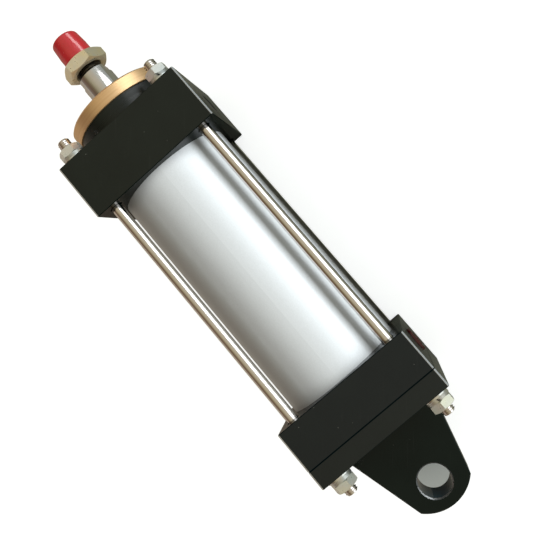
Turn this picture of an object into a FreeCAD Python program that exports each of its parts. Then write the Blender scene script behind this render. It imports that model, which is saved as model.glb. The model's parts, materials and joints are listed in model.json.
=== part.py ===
import FreeCAD, Part
import math
import os

# Hydraulic tie-rod cylinder with a rear eye, lying on its side with the eye hole upright.
# Frame, in millimetres: the origin is the centre of the rear eye, +X runs to the rod end,
# +Z is up along the eye hole and the oil ports face -Y.

V = FreeCAD.Vector
X_AXIS = V(1, 0, 0)
Y_AXIS = V(0, 1, 0)
Z_AXIS = V(0, 0, 1)

# ---- driving dimensions ----------------------------------------------------------------
BORE = 63.0                 # nominal bore of the barrel
STROKE = 150.0              # full travel of the piston
ROD_D = 22.0                # piston rod
COVER_SIDE = 90.0           # square head, cap and bracket plate
COVER_EDGE = 0.7            # chamfer on their long edges
COVER_RIM = 0.4             # chamfer round their end faces
TIE_PITCH = 70.0            # square on which the four tie rods stand
EYE_D = 20.0                # rear eye, for a 20 mm pin
EYE_TO_PLATE = 43.0         # eye centre to the rear face of the plate
PLATE_T = 12.0
CAP_L = 26.0
BARREL_GAP = 160.0          # barrel seen between the covers
HEAD_L = 37.0
REGISTER = 7.5              # how deep the barrel sits in each cover
FIT = 0.05                  # radial clearance of a running or register fit

# ---- stations along X --------------------------------------------------------------------
PLATE_REAR = EYE_TO_PLATE
CAP_REAR = PLATE_REAR + PLATE_T
CAP_FRONT = CAP_REAR + CAP_L
HEAD_REAR = CAP_FRONT + BARREL_GAP
HEAD_FRONT = HEAD_REAR + HEAD_L
BARREL_START = CAP_FRONT - REGISTER
BARREL_END = HEAD_REAR + REGISTER

# ---- barrel and covers -------------------------------------------------------------------
BARREL_OD = 76.0
CHAMBER_D = 40.0            # oil space in the covers, in line with the ports
CHAMBER_END_WALL = 7.0      # metal left between the rear chamber and the bracket plate
BOSS_D = 69.0               # round boss on the front head
BOSS_L = 12.8
BOSS_FRONT = HEAD_FRONT + BOSS_L
TIE_HOLE_D = 8.5
TUBE_RING_SECTION = 2.0     # O-ring between barrel and cover
TUBE_RING_SET_BACK = 4.0    # from the cover's inner face

# ---- oil ports, G 1/4 --------------------------------------------------------------------
PORT_THREAD_D = 13.157
PORT_DRILL_D = 11.5
PORT_DEPTH = 13.0
PORT_WAY_D = 7.0
REAR_PORT_X = CAP_REAR + 12.0
FRONT_PORT_X = HEAD_REAR + HEAD_L / 2

# ---- rear eye bracket --------------------------------------------------------------------
LUG_T = 20.0
LUG_ROOT_HALF = 34.0        # half width where the lug leaves the plate
LUG_END_HALF = 18.7         # half width where the taper meets the nose
LUG_END_X = -9.5
LUG_TIP_X = -17.0
LUG_EDGE = 0.8
LUG_ROOT_FILLET = 3.0
EYE_CHAMFER = 0.8

# ---- tie rods and their nuts, M8 ---------------------------------------------------------
TIE_SHANK_D = 7.0
TIE_THREAD_D = 7.9
TIE_THREAD_INSIDE = 12.0    # thread that runs back into the cover
TIE_FRONT_OUT = 15.0
TIE_REAR_OUT = 13.0
NUT_AF = 13.0
NUT_H = 5.4
NUT_HOLE_D = 8.0
WASHER_D = 16.0
WASHER_T = 1.6
SPRING_OD = 14.2
SPRING_T = 2.0
SPRING_GAP = 1.2            # cut through the spring washer
# how far each nut has been turned, in degrees, corner measured from the +Z side
FRONT_NUT_TURN = {"upper_left": 28.0, "upper_right": 2.0, "lower_right": 8.0, "lower_left": 50.0}
REAR_NUT_TURN = {"upper_left": 36.0, "upper_right": 0.5, "lower_right": 37.0, "lower_left": 52.0}
# seen from behind the eye, looking along +X with +Z up: left is +Y and right is -Y
CORNERS = {"upper_left": (1, 1), "upper_right": (-1, 1), "lower_right": (-1, -1), "lower_left": (1, -1)}

# ---- gland -------------------------------------------------------------------------------
GLAND_D = 71.0
GLAND_FLANGE_T = 9.2
GLAND_RIM = 1.2
GLAND_SLEEVE_D = 46.0
GLAND_SLEEVE_L = 24.0
GLAND_FRONT = BOSS_FRONT + GLAND_FLANGE_T
GLAND_BACK = BOSS_FRONT - GLAND_SLEEVE_L
GLAND_RING_SECTION = 2.4
GLAND_RING_X = GLAND_BACK + 15.0
ROD_SEAL_OD = 30.0
ROD_SEAL_L = 6.0
ROD_SEAL_X = GLAND_BACK + 4.0
WIPER_OD = 30.0
WIPER_L = 5.0
WIPER_LIP_OUT = 1.2
SPANNER_HOLE_D = 6.0
SPANNER_HOLE_DEPTH = 5.0
SPANNER_HOLE_CIRCLE = 54.0
SPANNER_HOLES = 4

# ---- piston ------------------------------------------------------------------------------
END_PLAY = 0.5              # piston to cover at each end of the stroke
PISTON_REAR = BARREL_START + END_PLAY
PISTON_L = BARREL_END - BARREL_START - STROKE - 2 * END_PLAY
PISTON_D = BORE - 2 * FIT
SEAL_W = 5.0
SEAL_DEPTH = 5.0
WEAR_RING_W = 4.0
WEAR_RING_T = 2.0
GROOVE_PLAY = 0.1           # play of a seal in its groove, on every side
LAND = (PISTON_L - 2 * SEAL_W - WEAR_RING_W) / 4
SPIGOT_D = 16.0             # rod tail that carries the piston
SPIGOT_RING_SECTION = 1.8
PISTON_NUT_AF = 24.0
PISTON_NUT_H = 6.5
ROD_TAIL_OUT = 1.5

# ---- rod end, M18 x 1.5 ------------------------------------------------------------------
ROD_SHOULDER_X = HEAD_FRONT + 49.0
ROD_EDGE = 1.8
FLAT_AF = 19.0
FLAT_L = 7.0
UNDERCUT_D = 15.6
UNDERCUT_L = 2.6
ROD_THREAD_D = 17.9
ROD_THREAD_END_X = ROD_SHOULDER_X + 20.5
ROD_THREAD_CHAMFER = 1.6
LOCK_NUT_AF = 27.0
LOCK_NUT_H = 8.4
LOCK_NUT_HOLE_D = 18.1
LOCK_NUT_X = ROD_SHOULDER_X + UNDERCUT_L
LOCK_NUT_TURN = 30.0        # a flat lies on top

# ---- plastic transit cap and plug --------------------------------------------------------
CAP_GAP = 0.5               # lock nut to thread cap
CAP_BASE_X = LOCK_NUT_X + LOCK_NUT_H + CAP_GAP
CAP_TIP_X = HEAD_FRONT + 79.4
CAP_STRAIGHT = 8.0
CAP_BASE_D = 20.6
CAP_TIP_D = 18.8
CAP_WALL = 1.2
CAP_END_WALL = 1.4
CAP_END_ROUND = 2.6
PLUG_FLANGE_D = 15.6
PLUG_FLANGE_T = 1.3
PLUG_SHANK_D = 11.2
PLUG_TIP_D = 10.4
PLUG_L = 9.0
PLUG_WALL = 1.0


# ---- helpers -----------------------------------------------------------------------------
def rod_along_x(x0, x1, diameter, y=0.0, z=0.0):
    """Plain round bar from x0 to x1."""
    return Part.makeCylinder(diameter / 2, x1 - x0, V(x0, y, z), X_AXIS)


def turned(points):
    """Solid turned about the X axis from (x, radius) corners."""
    corners = [V(x, 0, r) for x, r in points]
    outline = Part.makePolygon(corners + [corners[0]])
    return Part.Face(outline).revolve(V(0, 0, 0), X_AXIS, 360)


def square_block(x0, x1):
    """Square cover block whose long edges and end faces carry small chamfers."""
    half = COVER_SIDE / 2
    block = Part.makeBox(x1 - x0, COVER_SIDE, COVER_SIDE, V(x0, -half, -half))
    long_edges = [e for e in block.Edges if abs(e.tangentAt(e.FirstParameter).x) > 0.5]
    block = block.makeChamfer(COVER_EDGE, long_edges)
    rims = [e for e in block.Edges if e.BoundBox.XLength < 0.01]
    return block.makeChamfer(COVER_RIM, rims)


def tie_places():
    """Name, y and z of the four tie rods."""
    return [(name, sy * TIE_PITCH / 2, sz * TIE_PITCH / 2) for name, (sy, sz) in CORNERS.items()]


def tie_holes(x0, x1):
    """The four clearance holes through a cover."""
    holes = [rod_along_x(x0 - 1, x1 + 1, TIE_HOLE_D, y, z) for _, y, z in tie_places()]
    return Part.makeCompound(holes)


def hex_nut(x0, height, across_flats, hole_d, turn, y=0.0, z=0.0):
    """Hexagon nut with both faces chamfered to the usual 30 degrees and its hole countersunk."""
    radius = across_flats / math.sqrt(3)
    ring = []
    for i in range(7):
        angle = math.radians(turn + 60 * i)
        ring.append(V(x0, y + radius * math.sin(angle), z + radius * math.cos(angle)))
    prism = Part.Face(Part.makePolygon(ring)).extrude(V(height, 0, 0))
    drop = (radius - across_flats / 2 * 0.96) * math.tan(math.radians(30))
    small = radius - drop / math.tan(math.radians(30))
    envelope = turned([(x0, 0), (x0, small), (x0 + drop, radius), (x0 + height - drop, radius),
                       (x0 + height, small), (x0 + height, 0)])
    sink = hole_d * 0.06
    hole_r = hole_d / 2
    bore = turned([(x0 - 1, 0), (x0 - 1, hole_r + sink), (x0, hole_r + sink), (x0 + sink, hole_r),
                   (x0 + height - sink, hole_r), (x0 + height, hole_r + sink),
                   (x0 + height + 1, hole_r + sink), (x0 + height + 1, 0)])
    envelope.translate(V(0, y, z))
    bore.translate(V(0, y, z))
    return prism.common(envelope).cut(bore)


def o_ring(x, inner_d, section):
    """Round-section ring that stands on inner_d."""
    radius = section / 2 - 0.01
    return Part.makeTorus(inner_d / 2 + section / 2, radius, V(x, 0, 0), X_AXIS)


def groove(x, inner_d, outer_d, width):
    """Ring-shaped cutter, centred on x."""
    outer = rod_along_x(x - width / 2, x + width / 2, outer_d)
    return outer.cut(rod_along_x(x - width / 2 - 1, x + width / 2 + 1, inner_d))


def port(x, chamber_d):
    """Cutter for one oil port: chamfered G 1/4 drilling and the narrower way to the chamber."""
    face_y = -COVER_SIDE / 2
    drill_r = PORT_DRILL_D / 2
    thread_r = PORT_THREAD_D / 2
    drilling = Part.makeCylinder(drill_r, PORT_DEPTH + 1, V(x, face_y - 1, 0), Y_AXIS)
    mouth = Part.makeCone(thread_r + 0.3, drill_r, thread_r + 0.3 - drill_r, V(x, face_y, 0), Y_AXIS)
    reach = -chamber_d / 2 + 2 - face_y
    way = Part.makeCylinder(PORT_WAY_D / 2, reach, V(x, face_y, 0), Y_AXIS)
    return drilling.fuse([mouth, way])


# ---- barrel and covers -------------------------------------------------------------------
def barrel_tube():
    outer = BARREL_OD / 2
    inner = BORE / 2
    lead = 0.8
    return turned([(BARREL_START, inner + lead), (BARREL_START, outer), (BARREL_END, outer),
                   (BARREL_END, inner + lead), (BARREL_END - lead, inner), (BARREL_START + lead, inner)])


def register_cutter(inner_x, face_x):
    """Counterbore that takes the end of the barrel."""
    low, high = sorted((inner_x, face_x))
    return rod_along_x(low, high, BARREL_OD + 2 * FIT)


def tube_ring_x(face_x, into):
    return face_x + into * TUBE_RING_SET_BACK


def tube_ring_groove(face_x, into):
    inner_d = BARREL_OD
    outer_d = BARREL_OD + 2 * FIT + 2 * TUBE_RING_SECTION
    return groove(tube_ring_x(face_x, into), inner_d, outer_d, TUBE_RING_SECTION + 0.4)


def front_head():
    block = square_block(HEAD_REAR, HEAD_FRONT)
    boss = rod_along_x(HEAD_FRONT - 1, BOSS_FRONT, BOSS_D)
    body = block.fuse(boss)
    body = body.cut(register_cutter(BARREL_END, HEAD_REAR - 1))
    body = body.cut(tube_ring_groove(HEAD_REAR, 1))
    body = body.cut(rod_along_x(BARREL_END - 1, GLAND_BACK + 1, CHAMBER_D))
    body = body.cut(rod_along_x(GLAND_BACK, BOSS_FRONT + 1, GLAND_SLEEVE_D + 2 * FIT))
    body = body.cut(port(FRONT_PORT_X, CHAMBER_D))
    return body.cut(tie_holes(HEAD_REAR, HEAD_FRONT))


def rear_cap():
    body = square_block(CAP_REAR, CAP_FRONT)
    body = body.cut(register_cutter(BARREL_START, CAP_FRONT + 1))
    body = body.cut(tube_ring_groove(CAP_FRONT, -1))
    body = body.cut(rod_along_x(CAP_REAR + CHAMBER_END_WALL, BARREL_START + 1, CHAMBER_D))
    body = body.cut(port(REAR_PORT_X, CHAMBER_D))
    return body.cut(tie_holes(CAP_REAR, CAP_FRONT))


def lug():
    """Tapered lug with an arc-shaped nose, as thick as the eye is long."""
    z0 = -LUG_T / 2
    root_x = PLATE_REAR + 1
    left_root = V(root_x, LUG_ROOT_HALF, z0)
    left_end = V(LUG_END_X, LUG_END_HALF, z0)
    tip = V(LUG_TIP_X, 0, z0)
    right_end = V(LUG_END_X, -LUG_END_HALF, z0)
    right_root = V(root_x, -LUG_ROOT_HALF, z0)
    edges = [Part.LineSegment(right_root, left_root).toShape(),
             Part.LineSegment(left_root, left_end).toShape(),
             Part.Arc(left_end, tip, right_end).toShape(),
             Part.LineSegment(right_end, right_root).toShape()]
    solid = Part.Face(Part.Wire(edges)).extrude(V(0, 0, LUG_T))
    rims = [e for e in solid.Edges if e.BoundBox.ZLength < 0.01 and e.BoundBox.XMin < PLATE_REAR - 1]
    return solid.makeChamfer(LUG_EDGE, rims)


def eye_bracket():
    """The plate with the bored lug, as one body."""
    body = square_block(PLATE_REAR, CAP_REAR).fuse(lug()).removeSplitter()
    roots = []
    for edge in body.Edges:
        box = edge.BoundBox
        on_plate = abs(box.XMin - PLATE_REAR) < 0.01 and box.XLength < 0.01
        along_lug = box.YLength > LUG_ROOT_HALF and abs(abs(box.ZMin) - LUG_T / 2) < 0.01 and box.ZLength < 0.01
        if on_plate and along_lug:
            roots.append(edge)
    body = body.makeFillet(LUG_ROOT_FILLET, roots)
    body = body.cut(Part.makeCylinder(EYE_D / 2, LUG_T + 2, V(0, 0, -LUG_T / 2 - 1), Z_AXIS))
    for side in (-1, 1):
        face = V(0, 0, side * LUG_T / 2)
        inward = V(0, 0, -side)
        sink = Part.makeCone(EYE_D / 2 + EYE_CHAMFER, EYE_D / 2, EYE_CHAMFER, face, inward)
        body = body.cut(sink)
    return body.cut(tie_holes(PLATE_REAR, CAP_REAR))


def bracket_halves():
    """The lug and the plate, which meet in the plate's rear face; the root fillets belong to the lug."""
    body = eye_bracket()
    reach = 2 * COVER_SIDE
    behind = Part.makeBox(reach, reach, reach, V(PLATE_REAR - reach, -reach / 2, -reach / 2))
    return body.common(behind), body.cut(behind)


def front_tube_o_ring():
    return o_ring(tube_ring_x(HEAD_REAR, 1), BARREL_OD, TUBE_RING_SECTION)


def rear_tube_o_ring():
    return o_ring(tube_ring_x(CAP_FRONT, -1), BARREL_OD, TUBE_RING_SECTION)


# ---- gland -------------------------------------------------------------------------------
def gland_bush():
    """Bronze bush whose flange closes the boss; it carries the rod, the rod seal and the wiper."""
    flange = GLAND_D / 2
    sleeve = GLAND_SLEEVE_D / 2
    inner = ROD_D / 2 + FIT
    body = turned([(GLAND_BACK, inner + 0.8), (GLAND_BACK, sleeve - 1.0), (GLAND_BACK + 1.0, sleeve),
                   (BOSS_FRONT, sleeve), (BOSS_FRONT, flange - 0.3), (BOSS_FRONT + 0.3, flange),
                   (GLAND_FRONT - GLAND_RIM, flange), (GLAND_FRONT, flange - GLAND_RIM),
                   (GLAND_FRONT, inner), (GLAND_BACK + 0.8, inner)])
    body = body.cut(groove(ROD_SEAL_X + ROD_SEAL_L / 2, ROD_D, ROD_SEAL_OD, ROD_SEAL_L))
    body = body.cut(rod_along_x(GLAND_FRONT - WIPER_L, GLAND_FRONT + 1, WIPER_OD))
    ring_floor = GLAND_SLEEVE_D - 2 * GLAND_RING_SECTION
    body = body.cut(groove(GLAND_RING_X, ring_floor, GLAND_SLEEVE_D + 1, GLAND_RING_SECTION + 0.4))
    for i in range(SPANNER_HOLES):
        angle = math.radians(45 + i * 360 / SPANNER_HOLES)
        y = SPANNER_HOLE_CIRCLE / 2 * math.cos(angle)
        z = SPANNER_HOLE_CIRCLE / 2 * math.sin(angle)
        body = body.cut(rod_along_x(GLAND_FRONT - SPANNER_HOLE_DEPTH, GLAND_FRONT + 1, SPANNER_HOLE_D, y, z))
    return body


def gland_o_ring():
    return o_ring(GLAND_RING_X, GLAND_SLEEVE_D - 2 * GLAND_RING_SECTION, GLAND_RING_SECTION)


def rod_seal():
    """U-shaped lip ring, open towards the oil."""
    outer = ROD_SEAL_OD / 2
    inner = ROD_D / 2 + FIT
    x0 = ROD_SEAL_X
    x1 = ROD_SEAL_X + ROD_SEAL_L
    middle = (outer + inner) / 2
    return turned([(x0, inner), (x0, inner + 0.9), (x0 + 2.6, middle), (x0, outer - 0.9), (x0, outer),
                   (x1, outer), (x1, inner + 0.3), (x1 - 0.3, inner)])


def rod_wiper():
    """Rubber scraper pressed into the front of the gland, with a lip that stands out round the rod."""
    outer = WIPER_OD / 2
    inner = ROD_D / 2 + FIT
    x0 = GLAND_FRONT - WIPER_L
    x1 = GLAND_FRONT
    return turned([(x0, inner + 1.5), (x0, outer), (x1 - 0.3, outer), (x1 - 0.3, inner + 2.2),
                   (x1 + WIPER_LIP_OUT, inner + 0.5), (x1 + WIPER_LIP_OUT, inner), (x1 - 1.0, inner),
                   (x1 - 2.5, inner + 1.5)])


# ---- tie rods ----------------------------------------------------------------------------
def tie_rod(y, z):
    thread = TIE_THREAD_D / 2
    shank = TIE_SHANK_D / 2
    x0 = PLATE_REAR - TIE_REAR_OUT
    x1 = HEAD_FRONT + TIE_FRONT_OUT
    a = PLATE_REAR + TIE_THREAD_INSIDE
    b = HEAD_FRONT - TIE_THREAD_INSIDE
    step = thread - shank
    lead = 0.9
    bar = turned([(x0, 0), (x0, thread - lead), (x0 + lead, thread), (a, thread), (a + step, shank),
                  (b - step, shank), (b, thread), (x1 - lead, thread), (x1, thread - lead), (x1, 0)])
    bar.translate(V(0, y, z))
    return bar


def flat_washer(x0, y, z):
    ring = rod_along_x(x0, x0 + WASHER_T, WASHER_D, y, z)
    rims = [e for e in ring.Edges if e.Length > 1.5 * WASHER_D and len(e.Vertexes) == 1]
    ring = ring.makeChamfer(0.25, rims)
    return ring.cut(rod_along_x(x0 - 1, x0 + WASHER_T + 1, NUT_HOLE_D + 0.4, y, z))


def spring_washer(x0, y, z, turn):
    """Split washer, pressed flat, with a slanted cut through one side."""
    ring = rod_along_x(x0, x0 + SPRING_T, SPRING_OD, y, z)
    ring = ring.cut(rod_along_x(x0 - 1, x0 + SPRING_T + 1, NUT_HOLE_D + 0.2, y, z))
    slot = Part.makeBox(SPRING_T + 3, SPRING_GAP, SPRING_OD, V(x0 - 1.5, y - SPRING_GAP / 2, z))
    slot.rotate(V(x0 + SPRING_T / 2, y, z), Z_AXIS, 30)
    slot.rotate(V(x0, y, z), X_AXIS, turn)
    return ring.cut(slot)


def tie_hardware():
    """Every tie rod with the flat washer, spring washer and nut at each end."""
    made = {}
    for name, y, z in tie_places():
        made[f"tie_rod_{name}"] = tie_rod(y, z)
        front = HEAD_FRONT
        made[f"front_flat_washer_{name}"] = flat_washer(front, y, z)
        front += WASHER_T
        made[f"front_spring_washer_{name}"] = spring_washer(front, y, z, 3 * FRONT_NUT_TURN[name])
        front += SPRING_T
        made[f"front_nut_{name}"] = hex_nut(front, NUT_H, NUT_AF, NUT_HOLE_D, FRONT_NUT_TURN[name], y, z)
        rear = PLATE_REAR - WASHER_T
        made[f"rear_flat_washer_{name}"] = flat_washer(rear, y, z)
        rear -= SPRING_T
        made[f"rear_spring_washer_{name}"] = spring_washer(rear, y, z, 4 * REAR_NUT_TURN[name])
        rear -= NUT_H
        made[f"rear_nut_{name}"] = hex_nut(rear, NUT_H, NUT_AF, NUT_HOLE_D, REAR_NUT_TURN[name], y, z)
    return made


# ---- piston and rod ----------------------------------------------------------------------
def seal_stations():
    """Start of the rear seal, the wear ring and the front seal grooves."""
    rear = PISTON_REAR + LAND
    wear = rear + SEAL_W + LAND
    front = wear + WEAR_RING_W + LAND
    return rear, wear, front


def piston():
    body = rod_along_x(PISTON_REAR, PISTON_REAR + PISTON_L, PISTON_D)
    rims = [e for e in body.Edges if len(e.Vertexes) == 1 and e.Length > PISTON_D]
    body = body.makeChamfer(0.8, rims)
    rear, wear, front = seal_stations()
    seal_floor = BORE - 2 * SEAL_DEPTH
    wear_floor = BORE - 2 * WEAR_RING_T
    body = body.cut(groove(rear + SEAL_W / 2, seal_floor, BORE + 1, SEAL_W))
    body = body.cut(groove(front + SEAL_W / 2, seal_floor, BORE + 1, SEAL_W))
    body = body.cut(groove(wear + WEAR_RING_W / 2, wear_floor, BORE + 1, WEAR_RING_W))
    body = body.cut(rod_along_x(PISTON_REAR - 1, PISTON_REAR + PISTON_L + 1, SPIGOT_D + 0.04))
    ring_d = SPIGOT_D + 2 * SPIGOT_RING_SECTION
    return body.cut(groove(PISTON_REAR + PISTON_L / 2, SPIGOT_D, ring_d, SPIGOT_RING_SECTION + 0.4))


def piston_o_ring():
    return o_ring(PISTON_REAR + PISTON_L / 2, SPIGOT_D, SPIGOT_RING_SECTION)


def piston_seal(x0, lips):
    """U-shaped piston seal; lips is the side, +1 or -1 along X, that its lips face."""
    outer = BORE / 2 - FIT
    inner = BORE / 2 - SEAL_DEPTH + GROOVE_PLAY
    back = x0 + GROOVE_PLAY
    mouth = x0 + SEAL_W - GROOVE_PLAY
    if lips < 0:
        back, mouth = mouth, back
    middle = (outer + inner) / 2
    notch = mouth - lips * 2.2
    return turned([(back, inner), (back, outer - 0.4), (back + lips * 0.4, outer), (mouth, outer),
                   (mouth, outer - 1.0), (notch, middle), (mouth, inner + 1.0), (mouth, inner)])


def piston_wear_ring():
    """Guide strip with a slanted gap where its ends meet."""
    _, wear, _ = seal_stations()
    x0 = wear + GROOVE_PLAY
    x1 = wear + WEAR_RING_W - GROOVE_PLAY
    strip = rod_along_x(x0, x1, BORE - 2 * FIT)
    strip = strip.cut(rod_along_x(x0 - 1, x1 + 1, BORE - 2 * WEAR_RING_T + 2 * GROOVE_PLAY))
    gap = Part.makeBox(WEAR_RING_W + 6, 2.0, BORE, V(x0 - 3, -1, 0))
    gap.rotate(V(x0 + WEAR_RING_W / 2, 0, 0), Z_AXIS, 30)
    return strip.cut(gap)


def piston_rod():
    """Rod with a tail for the piston, wrench flats, undercut and M18 end thread."""
    rod = ROD_D / 2
    spigot = SPIGOT_D / 2
    thread = ROD_THREAD_D / 2
    undercut = UNDERCUT_D / 2
    tail = PISTON_REAR - PISTON_NUT_H - ROD_TAIL_OUT
    piston_front = PISTON_REAR + PISTON_L
    shoulder = ROD_SHOULDER_X
    end = ROD_THREAD_END_X
    lead = ROD_THREAD_CHAMFER
    bar = turned([(tail, 0), (tail, spigot - 1), (tail + 1, spigot), (piston_front, spigot),
                  (piston_front, rod), (shoulder - ROD_EDGE, rod), (shoulder, rod - ROD_EDGE),
                  (shoulder, undercut), (shoulder + UNDERCUT_L - 1, undercut),
                  (shoulder + UNDERCUT_L - 1 + thread - undercut, thread), (end - lead, thread),
                  (end, thread - lead), (end, 0)])
    for side in (-1, 1):
        low = FLAT_AF / 2 if side > 0 else -FLAT_AF / 2 - ROD_D
        block = Part.makeBox(FLAT_L + 1, ROD_D, 2 * ROD_D, V(shoulder - FLAT_L, low, -ROD_D))
        bar = bar.cut(block)
    return bar


def piston_nut():
    return hex_nut(PISTON_REAR - PISTON_NUT_H, PISTON_NUT_H, PISTON_NUT_AF, SPIGOT_D + 0.04, 0.0)


def rod_lock_nut():
    return hex_nut(LOCK_NUT_X, LOCK_NUT_H, LOCK_NUT_AF, LOCK_NUT_HOLE_D, LOCK_NUT_TURN)


# ---- plastic transit cap and plug --------------------------------------------------------
def thread_cap():
    """Push-on cap, straight over the thread and then tapered, with a rounded closed end."""
    base = CAP_BASE_D / 2
    tip = CAP_TIP_D / 2
    bend = CAP_BASE_X + CAP_STRAIGHT
    outer = turned([(CAP_BASE_X, 0), (CAP_BASE_X, base), (bend, base), (CAP_TIP_X, tip), (CAP_TIP_X, 0)])
    end_rim = [e for e in outer.Edges
               if len(e.Vertexes) == 1 and e.BoundBox.XMin > CAP_TIP_X - 0.01 and e.Length > 1]
    outer = outer.makeFillet(CAP_END_ROUND, end_rim)
    inner_end = CAP_TIP_X - CAP_END_WALL
    hollow = turned([(CAP_BASE_X - 1, 0), (CAP_BASE_X - 1, base - CAP_WALL), (bend, base - CAP_WALL),
                     (inner_end, tip - CAP_WALL - 0.4), (inner_end, 0)])
    return outer.cut(hollow)


def rear_port_plug():
    """Hollow push-in plug with a thin flange that lies on the cap's port face."""
    face_y = -COVER_SIDE / 2 - 0.05
    x = REAR_PORT_X
    flange = Part.makeCylinder(PLUG_FLANGE_D / 2, PLUG_FLANGE_T, V(x, face_y - PLUG_FLANGE_T, 0), Y_AXIS)
    outer_rim = [e for e in flange.Edges
                 if len(e.Vertexes) == 1 and e.Length > 30 and e.BoundBox.YMin < face_y - PLUG_FLANGE_T + 0.01]
    flange = flange.makeFillet(0.5, outer_rim)
    shank = Part.makeCone(PLUG_SHANK_D / 2, PLUG_TIP_D / 2, PLUG_L, V(x, face_y, 0), Y_AXIS)
    body = flange.fuse(shank)
    pocket = Part.makeCone(PLUG_SHANK_D / 2 - PLUG_WALL, PLUG_TIP_D / 2 - PLUG_WALL,
                           PLUG_L + PLUG_FLANGE_T - PLUG_WALL,
                           V(x, face_y - PLUG_FLANGE_T, 0), Y_AXIS)
    return body.cut(pocket)


# ---- write every piece -------------------------------------------------------------------
def all_parts():
    rear_groove, _, front_groove = seal_stations()
    eye_lug, bracket_plate = bracket_halves()
    parts = {
        "barrel_tube": barrel_tube(),
        "front_head": front_head(),
        "rear_cap": rear_cap(),
        "bracket_plate": bracket_plate,
        "eye_lug": eye_lug,
        "front_tube_o_ring": front_tube_o_ring(),
        "rear_tube_o_ring": rear_tube_o_ring(),
        "gland_bush": gland_bush(),
        "gland_o_ring": gland_o_ring(),
        "rod_seal": rod_seal(),
        "rod_wiper": rod_wiper(),
        "piston": piston(),
        "piston_o_ring": piston_o_ring(),
        "piston_seal_rear": piston_seal(rear_groove, -1),
        "piston_seal_front": piston_seal(front_groove, 1),
        "piston_wear_ring": piston_wear_ring(),
        "piston_rod": piston_rod(),
        "piston_nut": piston_nut(),
        "rod_lock_nut": rod_lock_nut(),
        "thread_cap": thread_cap(),
        "rear_port_plug": rear_port_plug(),
    }
    parts.update(tie_hardware())
    return parts


def main():
    os.makedirs("parts", exist_ok=True)
    for name, shape in all_parts().items():
        solids = shape.Solids
        if len(solids) != 1 or not shape.isValid():
            raise RuntimeError(f"{name}: {len(solids)} solids, valid {shape.isValid()}")
        solids[0].exportStep(f"parts/{name}.step")
        box = shape.BoundBox
        print(f"{name:34s} x {box.XMin:8.2f} {box.XMax:8.2f}  volume {solids[0].Volume / 1000:9.3f} cm3")


main()
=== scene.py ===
import json
import math

import bmesh
import bpy
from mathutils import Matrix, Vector


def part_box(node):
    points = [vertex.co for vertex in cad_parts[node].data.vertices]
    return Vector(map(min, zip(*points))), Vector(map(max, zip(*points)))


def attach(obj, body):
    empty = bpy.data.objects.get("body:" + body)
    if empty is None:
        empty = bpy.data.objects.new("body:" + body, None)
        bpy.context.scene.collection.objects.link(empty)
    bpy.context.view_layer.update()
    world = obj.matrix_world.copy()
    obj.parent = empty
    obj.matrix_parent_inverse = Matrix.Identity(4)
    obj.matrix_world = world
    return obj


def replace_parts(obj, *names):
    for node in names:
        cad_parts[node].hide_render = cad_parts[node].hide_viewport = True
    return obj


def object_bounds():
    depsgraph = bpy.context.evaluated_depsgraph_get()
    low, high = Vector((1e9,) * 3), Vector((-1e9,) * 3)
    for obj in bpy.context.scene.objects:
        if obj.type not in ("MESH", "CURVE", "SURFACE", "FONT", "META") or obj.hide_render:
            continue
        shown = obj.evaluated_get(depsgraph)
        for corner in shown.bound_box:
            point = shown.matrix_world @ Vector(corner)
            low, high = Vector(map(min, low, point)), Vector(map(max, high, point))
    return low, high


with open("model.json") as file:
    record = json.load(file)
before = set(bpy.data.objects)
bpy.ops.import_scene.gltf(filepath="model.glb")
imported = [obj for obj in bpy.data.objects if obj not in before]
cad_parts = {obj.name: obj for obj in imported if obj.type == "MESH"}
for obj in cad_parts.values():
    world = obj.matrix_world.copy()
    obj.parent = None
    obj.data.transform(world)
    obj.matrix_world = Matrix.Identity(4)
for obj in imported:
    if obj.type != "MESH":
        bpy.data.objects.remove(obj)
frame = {"nodes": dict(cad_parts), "record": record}
cad_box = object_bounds()
NODES = frame["nodes"]
MM = 0.001

# ---- what the looks are driven by ----------------------------------------------------------
CORNERS = ("upper_left", "upper_right", "lower_right", "lower_left")
COLUMNS = 48                     # vertices round a turned piece
TIE_SHANK_R = 3.5 * MM
TIE_MINOR_R = 3.28 * MM          # root of the M8 thread
TIE_PITCH = 1.25 * MM
TIE_THREAD_INSIDE = 12.0 * MM    # thread that runs back into the covers
TIE_CHAMFER = 0.9 * MM
ROD_MINOR_R = 8.05 * MM          # root of the M18 x 1.5 thread
ROD_PITCH = 1.5 * MM
SPIGOT_R = 8.0 * MM
ROD_EDGE = 1.8 * MM
FLAT_HALF = 9.5 * MM             # half the distance across the wrench flats
FLAT_L = 7.0 * MM
UNDERCUT_R = 7.8 * MM
UNDERCUT_L = 2.6 * MM
THREAD_CREST_R = 8.95 * MM
ROD_CHAMFER = 1.6 * MM
GLAND_OUT = 22.0 * MM            # how far the gland's face stands out from the front head's block
FACE_MARGIN = 0.02 * MM
LONG_EDGE = 0.9 * MM             # width of the rubbed strip on the covers' long edges
EYE = next(mount["dims"] for mount in frame["record"]["mounts"] if mount["name"] == "rear_eye")
EYE_RIM = 0.74 * MM              # width of the chamfer's bare ring
EYE_RIM_BELOW = 0.4 * MM         # how far that ring reaches below the chamfer
EYE_WALL_MARGIN = 0.1 * MM
PORT_AXIS_X = 18.5 * MM          # axis of the open port, from the rear face of the front head
PORT_MOUTH_R = 6.9 * MM
PORT_DEPTH_SHARE = 0.6           # how deep the bare wall reaches, as a share of the gland's radius
FLOOR_HALF = 6.0
FLOOR_MIDDLE_X = 0.17
FLOOR_PAINTED_SHADE_REACH = 0.04          # half the stretch across Y over which the floor's painted shade in reflections turns to a lighter, warmer tone
FLOOR_GLOW = 0.75
EYE_PAINTED_SHADOW = (-0.012, 0.007)      # where the floor's glow is left out: a painted shadow under the eye
EYE_PAINTED_SHADOW_INNER = 0.014
EYE_PAINTED_SHADOW_OUTER = 0.022
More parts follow.
